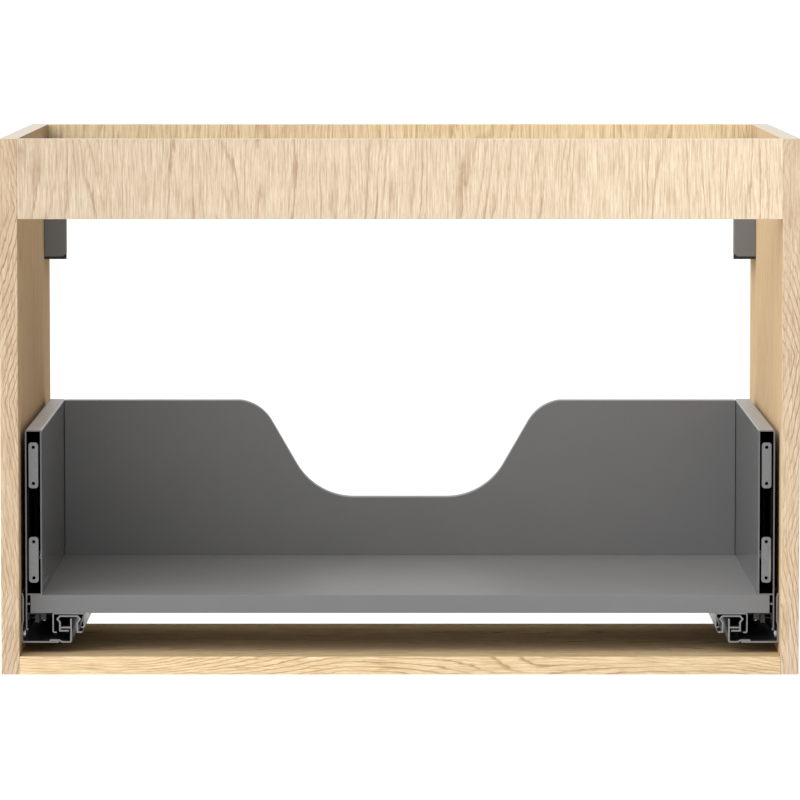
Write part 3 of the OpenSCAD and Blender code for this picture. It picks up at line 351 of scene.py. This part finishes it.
def metalFinish(name):
    wanted = metals[name]
    look = Finish(name)
    place = look.place()
    x, y, z = look.split(place)
    cells = look.node("TexVoronoi", {"Vector": place, "Scale": wanted["spangle"]}).outputs["Color"]
    cell = look.split(cells)[0]
    drawnPlace = look.vector(x, look.calc("MULTIPLY", y, metalSkin["drawnStretch"]), z)
    drawn = look.noise(drawnPlace, metalSkin["drawnScale"], 2.0)
    bright = look.calc("ADD", look.span(cell, 0, 1, *metalSkin["cellShade"]),
                       look.vary(drawn, *metalSkin["drawnShade"]))
    roughness, swing = wanted["roughness"], metalSkin["drawnRough"]
    rough = look.calc("ADD", look.span(cell, 0, 1, *metalSkin["cellRough"]),
                      look.vary(drawn, roughness - swing, roughness + swing))
    look.set(Base_Color=look.brighten(wanted["colour"], bright), Metallic=1.0, Roughness=rough)
    look.bump(drawn, metalSkin["drawnStrength"], metalSkin["drawnDepth"])
    return look.material


polish = {"colour": (0.82, 0.82, 0.84), "hazeScale": 900, "roughness": (0.06, 0.14)}


def chromeFinish():
    look = Finish("polishedBall")
    haze = look.noise(look.place(), polish["hazeScale"], 2.0)
    rough = look.vary(haze, *polish["roughness"])
    look.set(Base_Color=(*polish["colour"], 1), Metallic=1.0, Roughness=rough)
    return look.material


# Coats and plastics: a fine orange-peel skin over one colour with a slight cloud in it

coats = {
    # powderCoat's paintedTopLight: painted light, its top faces lightened, the left one more than the right
    "powderCoat": {"colour": (0.101, 0.102, 0.104), "grain": 2600, "peel": 0.0004, "roughness": 0.17,
                   "gloss": 1.0, "paintedTopLight": (5.4, 2.9), "topHaze": 0.22},  # left and right top faces
    # near-black coat: painted shade in the drawer sides' hollows, on the front bracket's tongues and on the
    # front carriers
    "paintedShadeBlack": {"colour": (0.004, 0.004, 0.004), "grain": 2600, "peel": 0.02, "roughness": 0.8,
                   "gloss": 0.1},
    # boardLaminate's paintedFrontShade: painted shade, its forward-facing faces darkened
    "boardLaminate": {"colour": (0.192, 0.193, 0.196), "grain": 3400, "peel": 0.001, "roughness": 0.42,
                      "gloss": 0.6, "paintedFrontShade": 0.84},
    "coverPlastic": {"colour": (0.168, 0.169, 0.170), "grain": 2000, "peel": 0.04, "roughness": 0.5,
                     "gloss": 0.45},
    "capPlastic": {"colour": (0.097, 0.098, 0.100), "grain": 2400, "peel": 0.004, "roughness": 0.24,
                   "gloss": 0.9},
    "blackNylon": {"colour": (0.022, 0.022, 0.023), "grain": 1800, "peel": 0.04, "roughness": 0.5,
                   "gloss": 0.4},
    "whiteNylon": {"colour": (0.72, 0.71, 0.68), "grain": 1800, "peel": 0.03, "roughness": 0.42,
                   "gloss": 0.5},
}
coatSkin = {
    "detail": 2.0, "noiseRoughness": 0.55, "shade": (0.95, 1.05), "smoother": 0.04, "rougher": 0.05,
    "peelStrength": 0.35, "cloudScale": 22, "cloudShade": (0.98, 1.02),
    "topFrom": 0.5, "frontTo": -0.5,  # how far a normal has turned where the top or front shade begins
    "sideReach": 0.3,  # left and right top faces lie about this far from the middle
}


def coatFinish(name):
    wanted = coats[name]
    look = Finish(name)
    place, facing = look.place(), look.facing()
    skin = look.noise(place, wanted["grain"], coatSkin["detail"], coatSkin["noiseRoughness"])
    cloud = look.noise(place, coatSkin["cloudScale"], 3.0)
    speck = look.vary(skin, *coatSkin["shade"])
    shade = look.calc("MULTIPLY", speck, look.vary(cloud, *coatSkin["cloudShade"]))
    roughness = wanted["roughness"]
    rough = look.vary(skin, roughness - coatSkin["smoother"], roughness + coatSkin["rougher"])
    # painted shade: faces that look forward are darkened
    if "paintedFrontShade" in wanted:
        front = look.span(facing[1], -1.0, coatSkin["frontTo"], wanted["paintedFrontShade"], 1.0)
        shade = look.calc("MULTIPLY", shade, front)
    # painted light: faces that look up are lightened, more on the left than on the right
    if "paintedTopLight" in wanted:
        reach = coatSkin["sideReach"]
        paintedTopLight = look.span(look.split(place)[0], -reach, reach, *wanted["paintedTopLight"])
        top = look.span(facing[2], coatSkin["topFrom"], 1.0, 1.0, paintedTopLight)
        shade = look.calc("MULTIPLY", shade, top)
        haze = look.span(facing[2], coatSkin["topFrom"], 1.0, 0.0, wanted["topHaze"])
        rough = look.calc("ADD", rough, haze)
    colour = look.brighten(wanted["colour"], shade)
    look.set(Base_Color=colour, Specular_IOR_Level=wanted["gloss"], Roughness=rough)
    look.bump(skin, coatSkin["peelStrength"], wanted["peel"] * mm)
    return look.material


beech = {"dark": (0.66, 0.47, 0.30), "light": (0.80, 0.62, 0.43), "roughness": 0.6, "scale": 1400,
         "stretch": 0.06, "strength": 0.3, "depth": 0.05 * mm}


def beechFinish():
    look = Finish("beechDowel")
    x, y, z = look.split(look.place())
    fibres = look.noise(look.vector(look.calc("MULTIPLY", x, beech["stretch"]), y, z), beech["scale"], 2.0)
    look.set(Base_Color=look.ramp(fibres, [(0.3, beech["dark"]), (0.7, beech["light"])]),
             Roughness=beech["roughness"])
    look.bump(fibres, beech["strength"], beech["depth"])
    return look.material


finishes = {name: metalFinish(name) for name in metals}
finishes.update({name: coatFinish(name) for name in coats})
finishes["polishedBall"] = chromeFinish()
finishes["beechDowel"] = beechFinish()
for name, wanted in oakBoards.items():
    finishes[name] = oakFinish(name, **wanted)
print("finishes made:", len(finishes))


# Floor

ground = {"size": 800, "drop": 0.38,  # the cabinet hangs on a wall, this far above the floor
          "dark": (0.925, 0.925, 0.925), "light": (0.94, 0.94, 0.94), "cloudScale": 1.5,
          "roughness": 0.8, "gloss": 0.1}


def floorFinish():
    look = Finish("studioFloor")
    cloud = look.noise(look.place(), ground["cloudScale"], 2.0)
    look.set(Base_Color=look.ramp(cloud, [(0.3, ground["dark"]), (0.7, ground["light"])]),
             Roughness=ground["roughness"], Specular_IOR_Level=ground["gloss"])
    return look.material


floorMesh = bpy.data.meshes.new("floor")
half = ground["size"] / 2
floorCorners = [(-half, -half), (half, -half), (half, half), (-half, half)]
floorMesh.from_pydata([(x, y, -ground["drop"]) for x, y in floorCorners], [], [(0, 1, 2, 3)])
floor = bpy.data.objects.new("floor", floorMesh)
floor.data.materials.append(floorFinish())
bpy.context.scene.collection.objects.link(floor)
floor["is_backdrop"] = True
print("floor laid")


# Making pieces: angles in degrees, and the shortest edge that is rounded in roundings

easing = {"weld": 0.002 * mm, "flatUnder": 0.4, "sharpOver": 38, "shortest": 5, "steps": 2}
smoothing = {"under": 28, "weight": 100}


def addPiece(name, mesh, finishNames, body, nodes=(), smoothUnder=smoothing["under"]):
    mesh.polygons.foreach_set("use_smooth", [True] * len(mesh.polygons))
    mesh.set_sharp_from_angle(angle=math.radians(smoothUnder))
    piece = bpy.data.objects.new(name, mesh)
    bpy.context.scene.collection.objects.link(piece)
    for finish in finishNames:
        mesh.materials.append(finishes[finish])
    even = piece.modifiers.new("evenShading", "WEIGHTED_NORMAL")  # keeps flat faces flat beside roundings
    even.keep_sharp = True
    even.weight = smoothing["weight"]
    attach(piece, body)
    if nodes:
        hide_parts(*nodes)


# Copies a CAD node and rounds its long sharp edges; faces that pass the test get the other finish
def easedCopy(node, finish, rounding, otherTest=None, otherFinish=None):
    shape = bmesh.new()
    shape.from_mesh(frame["nodes"][node].data)
    bmesh.ops.remove_doubles(shape, verts=shape.verts, dist=easing["weld"])
    bmesh.ops.dissolve_limit(shape, angle_limit=math.radians(easing["flatUnder"]), verts=shape.verts,
                             edges=shape.edges)
    crisp = [edge for edge in shape.edges if len(edge.link_faces) == 2
             and edge.calc_face_angle(0) > math.radians(easing["sharpOver"])
             and edge.calc_length() > easing["shortest"] * rounding]
    if crisp:
        bmesh.ops.bevel(shape, geom=crisp, offset=rounding, offset_type="OFFSET", segments=easing["steps"],
                        profile=0.5, affect="EDGES", clamp_overlap=False)
    shape.normal_update()
    for face in shape.faces:
        isOther = otherTest is not None and otherTest(face.calc_center_median(), face.normal)
        face.material_index = 1 if isOther else 0
    bmesh.ops.triangulate(shape, faces=[face for face in shape.faces if len(face.verts) > 4])
    mesh = bpy.data.meshes.new(node + "_eased")
    shape.to_mesh(mesh)
    shape.free()
    finishNames = [finish, otherFinish] if otherFinish else [finish]
    addPiece(node + "_eased", mesh, finishNames, bodyOf[node], [node])


# How far a ring reaches at one of its steps: round, threaded, six-sided or fluted
def reachAt(kind, radius, place, step, around):
    angle = 2 * math.pi * step / around
    if kind == "thread":
        phase = (place / thread["pitch"] - step / around) % 1
        return radius - thread["pitch"] * thread["depth"] * abs(2 * phase - 1)
    if kind == "hex":
        return radius / math.cos((angle + math.pi / 6) % (math.pi / 3) - math.pi / 6)
    if kind == "fluted":
        return radius - dowels["fluteDepth"] * (0.5 + 0.5 * math.cos(dowels["flutes"] * angle))
    return radius


# Adds a turned part: rings of (distance along its line, radius, kind), laid on the line by the matrix
def addTurned(shape, rings, matrix, around=28):
    verts = []
    for place, radius, kind in rings:
        for step in range(around):
            angle = 2 * math.pi * step / around
            reach = reachAt(kind, radius, place, step, around)
            point = Vector((place, reach * math.cos(angle), reach * math.sin(angle)))
            verts.append(shape.verts.new(matrix @ point))
    for ring in range(len(rings) - 1):
        first, after = ring * around, (ring + 1) * around
        for step in range(around):
            turn = (step + 1) % around
            corners = (first + step, first + turn, after + turn, after + step)
            shape.faces.new([verts[corner] for corner in corners])
    shape.faces.new(list(reversed(verts[:around])))
    shape.faces.new(verts[-around:])


def finishTurned(shape, name, finish, body, nodes=(), smoothUnder=smoothing["under"]):
    bmesh.ops.recalc_face_normals(shape, faces=shape.faces)
    mesh = bpy.data.meshes.new(name)
    shape.to_mesh(mesh)
    shape.free()
    addPiece(name, mesh, [finish], body, nodes, smoothUnder)


def lineFrom(start, direction):
    turn = Vector((1, 0, 0)).rotation_difference(Vector(direction)).to_matrix().to_4x4()
    return Matrix.Translation(Vector(start)) @ turn


# Boards: every edge eased a little, so that it catches the light

boards = {
    "rounding": 0.7 * mm,
    "finishes": {"side_panel_left": "oakLeft", "side_panel_right": "oakRight", "front_rail": "oakFront",
                 "rear_rail": "oakRear", "bottom_board": "oakBottom"},
}
for node, finish in boards["finishes"].items():
    easedCopy(node, finish, boards["rounding"])
print("boards done")


# Drawer: powder-coated sides whose hollow is painted near-black as shade, laminated floor and back

drawer = {"sheetRounding": 0.1 * mm, "boardRounding": 0.4 * mm, "capRounding": 0.3 * mm}
hollow = {"from": 5.5 * mm, "to": 17.3 * mm, "slack": 0.3 * mm,  # inward from the wall
          "low": 68 * mm, "high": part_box("drawer_side_left")[1].z - 0.5 * mm}


def inHollow(centre, normal):
    inward = innerWall - abs(centre.x)
    return (hollow["from"] - hollow["slack"] < inward < hollow["to"] + hollow["slack"]
            and abs(normal.y) < 0.5 and hollow["low"] < centre.z < hollow["high"])


for side in sides:
    # faces in a drawer side's hollow take the near-black coat: painted shade
    easedCopy(f"drawer_side_{side}", "powderCoat", drawer["sheetRounding"], inHollow, "paintedShadeBlack")
    easedCopy(f"cover_cap_{side}", "capPlastic", drawer["capRounding"])
    easedCopy(f"back_holder_{side}", "powderCoat", drawer["sheetRounding"])
for node in ("drawer_floor", "drawer_back"):
    easedCopy(node, "boardLaminate", drawer["boardRounding"])
print("drawer box done")


# Folded steel and castings, straight from the frame with their edges broken

hardware = {  # finish and rounding in mm, one piece at each side
    "runner_bracket": ("galvanised", 0.15), "cabinet_rail": ("galvanised", 0.15),
    "middle_rail": ("galvanised", 0.15), "drawer_rail": ("galvanised", 0.12),
    "upper_cage": ("brightScrew", 0.05), "lower_cage": ("whiteNylon", 0.1),
    "closing_damper": ("blackNylon", 0.3), "release_catch": ("blackNylon", 0.25),
    # the front carriers take the near-black coat: painted shade
    "release_lever": ("blackNylon", 0.25), "front_carrier": ("paintedShadeBlack", 0.15),
    "front_bracket": ("plateSteel", 0.2), "height_adjuster": ("brightScrew", 0.15),
    "side_adjuster": ("brightScrew", 0.12), "hanger_cover": ("coverPlastic", 0.3),
    "hanger_frame": ("darkSteel", 0.2), "hanger_carriage": ("castZinc", 0.4),
    "hanger_hook": ("darkSteel", 0.5),
}
fasteners = {
    "cam_fittings": ("castZinc", 0.3), "hanger_fixing_screws": ("brightScrew", 0.1),
    "runner_screws": ("brightScrew", 0.1), "drawer_screws": ("brightScrew", 0.1),
}
# the front bracket's tongues take the near-black coat: painted shade
frontBracket = {"tongueFrom": -198 * mm, "tongueFinish": "paintedShadeBlack"}  # its tongues lie behind this Y


def isTongue(centre, normal):
    return centre.y > frontBracket["tongueFrom"]


for node, (finish, rounding) in hardware.items():
    for side in sides:
        if node == "front_bracket":
            easedCopy(f"{node}_{side}", finish, rounding * mm, isTongue, frontBracket["tongueFinish"])
        else:
            easedCopy(f"{node}_{side}", finish, rounding * mm)
for node, (finish, rounding) in fasteners.items():
    easedCopy(node, finish, rounding * mm)
print("hardware done")


# Hanger screws with real threads and six-sided sockets

thread = {"pitch": 1.5 * mm, "stepsPerTurn": 6, "smoothUnder": 40,
          "depth": 0.42}  # as a share of the pitch
heightScrew = {"radius": 3 * mm, "chamfer": 0.4 * mm, "socketRadius": 1.45 * mm, "socketDepth": 2.6 * mm,
               "collarFrom": 2.2 * mm, "collarTo": 4.6 * mm, "collarRadius": 4.2 * mm,
               "collarChamfer": 0.2 * mm, "threadFrom": 6 * mm}
depthScrew = {"radius": 2.2 * mm, "pointRadius": 1.6 * mm, "pointLength": 1 * mm, "threadFrom": 5 * mm,
              "headRadius": 4 * mm, "headLength": 4 * mm, "chamfer": 0.4 * mm, "rearChamfer": 0.3 * mm,
              "socketRadius": 1.75 * mm, "socketDepth": 2.5 * mm}


def socketRings(screw):
    centre = 0.02 * mm
    return [(screw["socketDepth"], centre, "round"), (screw["socketDepth"], screw["socketRadius"], "hex"),
            (0, screw["socketRadius"], "hex")]


def collarRings(screw, start, end):
    neck, radius, chamfer = screw["radius"], screw["collarRadius"], screw["collarChamfer"]
    return [(start, neck, "round"), (start, radius - chamfer, "round"), (start + chamfer, radius, "round"),
            (end - chamfer, radius, "round"), (end, radius - chamfer, "round"), (end, neck, "round")]


def threadRings(screw, start, end):
    step = thread["pitch"] / thread["stepsPerTurn"]
    count = int((end - start) / step)
    return [(start + step * i, screw["radius"], "thread") for i in range(count + 1)]


def heightScrewRings(length):
    screw = heightScrew
    near, far, chamfer, radius = screw["collarFrom"], screw["collarTo"], screw["chamfer"], screw["radius"]
    rings = socketRings(screw) + [(0, radius - chamfer, "round"), (chamfer, radius, "round")]
    rings += collarRings(screw, near, far)
    rings += threadRings(screw, screw["threadFrom"], length - screw["threadFrom"])
    rings += collarRings(screw, length - far, length - near)
    return rings + [(length - chamfer, radius, "round"), (length, radius - chamfer, "round")]


def depthScrewRings(length):
    screw = depthScrew
    headRadius, headLength, chamfer = screw["headRadius"], screw["headLength"], screw["chamfer"]
    rings = socketRings(screw) + [(0, headRadius - chamfer, "round"), (chamfer, headRadius, "round")]
    rings += [(headLength - chamfer, headRadius, "round"),
              (headLength, headRadius - screw["rearChamfer"], "round"),
              (headLength, screw["radius"], "round")]
    rings += threadRings(screw, screw["threadFrom"], length - screw["pointLength"])
    return rings + [(length, screw["pointRadius"], "round")]


for side in sides:
    low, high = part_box(f"hanger_height_screw_{side}")
    middle = (low + high) / 2
    shape = bmesh.new()
    addTurned(shape, heightScrewRings(high.z - low.z), lineFrom((middle.x, middle.y, low.z), (0, 0, 1)))
    finishTurned(shape, f"heightScrew_{side}", "brightScrew", f"hanger_height_screw_{side}",
                 [f"hanger_height_screw_{side}"], smoothUnder=thread["smoothUnder"])

    low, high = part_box(f"hanger_depth_screw_{side}")
    middle = (low + high) / 2
    shape = bmesh.new()
    addTurned(shape, depthScrewRings(high.y - low.y), lineFrom((middle.x, low.y, middle.z), (0, 1, 0)))
    finishTurned(shape, f"depthScrew_{side}", "brightScrew", f"hanger_depth_screw_{side}",
                 [f"hanger_depth_screw_{side}"], smoothUnder=thread["smoothUnder"])
print("hanger screws done")


# Separate lumps of a CAD node, as (lowest corner, highest corner)
def lumps(node):
    shape = bmesh.new()
    shape.from_mesh(frame["nodes"][node].data)
    bmesh.ops.remove_doubles(shape, verts=shape.verts, dist=easing["weld"])
    left, found = set(shape.verts), []
    while left:
        stack, group = [next(iter(left))], []
        left.discard(stack[0])
        while stack:
            vert = stack.pop()
            group.append(vert.co.copy())
            for edge in vert.link_edges:
                other = edge.other_vert(vert)
                if other in left:
                    left.discard(other)
                    stack.append(other)
        low = Vector([min(point[i] for point in group) for i in range(3)])
        high = Vector([max(point[i] for point in group) for i in range(3)])
        found.append((low, high))
    shape.free()
    return sorted(found, key=lambda pair: tuple(round(value, 5) for value in pair[0]))


# Fluted dowels

dowels = {"flutes": 14, "fluteDepth": 0.25 * mm, "fluteSteps": 4, "chamfer": 1.5 * mm,
          "shoulderAt": 0.8, "shoulderDrop": 0.3 * mm, "around": 56, "smoothUnder": 20}


def dowelRings(radius, length):
    chamfer, steps = dowels["chamfer"], dowels["fluteSteps"]
    shoulder, shoulderRadius = chamfer * dowels["shoulderAt"], radius - dowels["shoulderDrop"]
    rings = [(0, radius - chamfer, "round"), (shoulder, shoulderRadius, "round")]
    rings += [(chamfer + (length - 2 * chamfer) * i / steps, radius, "fluted") for i in range(steps + 1)]
    return rings + [(length - shoulder, shoulderRadius, "round"), (length, radius - chamfer, "round")]


shape = bmesh.new()
for low, high in lumps("carcass_dowels"):
    middle = (low + high) / 2
    rings = dowelRings((high.y - low.y) / 2, high.x - low.x)
    addTurned(shape, rings, lineFrom((low.x, middle.y, middle.z), (1, 0, 0)), dowels["around"])
finishTurned(shape, "flutedDowels", "beechDowel", "carcass", ["carcass_dowels"],
             smoothUnder=dowels["smoothUnder"])


# Rollers with a dimple in either end, upright or lying, and balls

rollers = {"edge": 0.25 * mm, "edgeShare": 0.1, "around": 24,
           # depth and share of the radius
           "dimple": [(0, 0.3), (0.12 * mm, 0.34), (0.12 * mm, 0.5), (0, 0.55)]}
balls = {"around": 20, "rings": 12, "smoothUnder": 60}


def rollerRings(radius, length):
    edge = min(rollers["edge"], length * rollers["edgeShare"])
    nearEnd = [(depth, radius * share) for depth, share in rollers["dimple"]]
    nearEnd += [(0, radius - edge), (edge, radius)]
    farEnd = [(length - place, reach) for place, reach in reversed(nearEnd)]
    return [(place, reach, "round") for place, reach in nearEnd + farEnd]


for side in sides:
    shape = bmesh.new()
    for low, high in lumps(f"lower_rollers_{side}"):
        size, middle = high - low, (low + high) / 2
        upright = size.z > size.x
        rings = rollerRings(size.y / 2, size.z if upright else size.x)
        start = (middle.x, middle.y, low.z) if upright else (low.x, middle.y, middle.z)
        addTurned(shape, rings, lineFrom(start, (0, 0, 1) if upright else (1, 0, 0)), rollers["around"])
    finishTurned(shape, f"rollers_{side}", "whiteNylon", f"lower_cage_{side}", [f"lower_rollers_{side}"])

    shape = bmesh.new()
    for low, high in lumps(f"upper_balls_{side}"):
        made = bmesh.ops.create_uvsphere(shape, u_segments=balls["around"], v_segments=balls["rings"],
                                         radius=(high.z - low.z) / 2)
        bmesh.ops.translate(shape, vec=(low + high) / 2, verts=made["verts"])
    finishTurned(shape, f"balls_{side}", "polishedBall", f"upper_cage_{side}", [f"upper_balls_{side}"],
                 smoothUnder=balls["smoothUnder"])
print("rolling parts and dowels done")


# Return spring on each closing damper's rod

spring = {"wire": 0.35 * mm, "radius": 2.3 * mm, "turns": 15, "length": 32.5 * mm, "stepsPerTurn": 16,
          "behindFront": 8.5 * mm, "aboveBottom": 7.5 * mm, "around": 8, "smoothUnder": 50}


def addSpring(shape, start):
    steps, around, wire = spring["stepsPerTurn"], spring["around"], spring["wire"]
    count = spring["turns"] * steps
    loops = []
    for step in range(count + 1):
        angle = 2 * math.pi * step / steps
        outward = Vector((math.cos(angle), 0, math.sin(angle)))
        centre = start + outward * spring["radius"] + Vector((0, spring["length"] * step / count, 0))
        turns = [2 * math.pi * k / around for k in range(around)]
        loops.append([shape.verts.new(centre + outward * wire * math.cos(turn)
                                      + Vector((0, 1, 0)) * wire * math.sin(turn)) for turn in turns])
    for first, after in zip(loops, loops[1:]):
        for k in range(around):
            following = (k + 1) % around
            shape.faces.new([first[k], first[following], after[following], after[k]])
    shape.faces.new(loops[0])
    shape.faces.new(loops[-1])


for side in sides:
    low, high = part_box(f"closing_damper_{side}")
    start = Vector(((low.x + high.x) / 2, low.y + spring["behindFront"], low.z + spring["aboveBottom"]))
    shape = bmesh.new()
    addSpring(shape, start)
    finishTurned(shape, f"damperSpring_{side}", "brightScrew", "carcass",
                 smoothUnder=spring["smoothUnder"])
print("springs done")

low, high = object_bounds()
